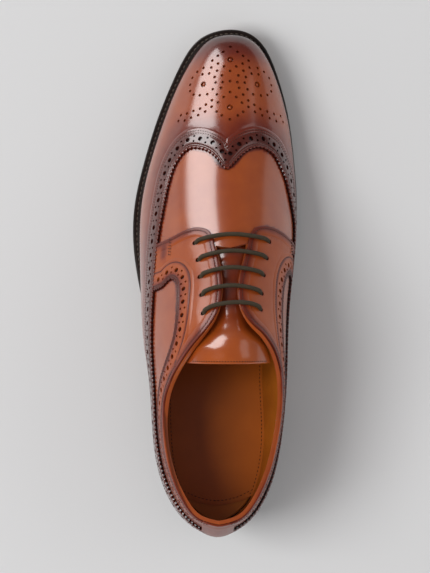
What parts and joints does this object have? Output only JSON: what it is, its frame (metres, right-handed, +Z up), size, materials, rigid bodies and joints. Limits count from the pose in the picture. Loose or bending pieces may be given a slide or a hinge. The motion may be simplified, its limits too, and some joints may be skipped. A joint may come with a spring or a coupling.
{
  "type": "brogue shoe",
  "caption": "Left long-wing brogue: a leather derby upper with punched bands and a medallion, on a welted leather sole with a stacked heel, laced straight across.",
  "frame": {"origin": "middle of the overall box on the floor", "axes": "+X to the toe, +Y to the outer side of the foot, +Z up"},
  "size_m": [0.3014, 0.099, 0.1133],
  "materials": {
    "outsole": "dark waxed edge",
    "welt": "dark waxed",
    "heel_stack": "dark waxed lifts",
    "heel_tip": "matt",
    "insole": "smooth, unfinished tan",
    "upper": "polished tan calf",
    "wing_tip": "polished, burnished to oxblood at the toe",
    "facing_lateral": "polished tan calf",
    "facing_medial": "polished tan calf",
    "backstay": "polished tan calf",
    "tongue": "soft tan calf",
    "lace": "waxed round cotton"
  },
  "bodies": {
    "root": {"outsole": "outsole", "welt": "welt", "heel_stack": "heel_stack", "heel_tip": "heel_tip", "insole": "insole", "upper": "upper", "wing_tip": "wing_tip", "facing_lateral": "facing_lateral", "facing_medial": "facing_medial", "backstay": "backstay", "tongue": "tongue", "lace": "lace"}
  },
  "joints": []
}
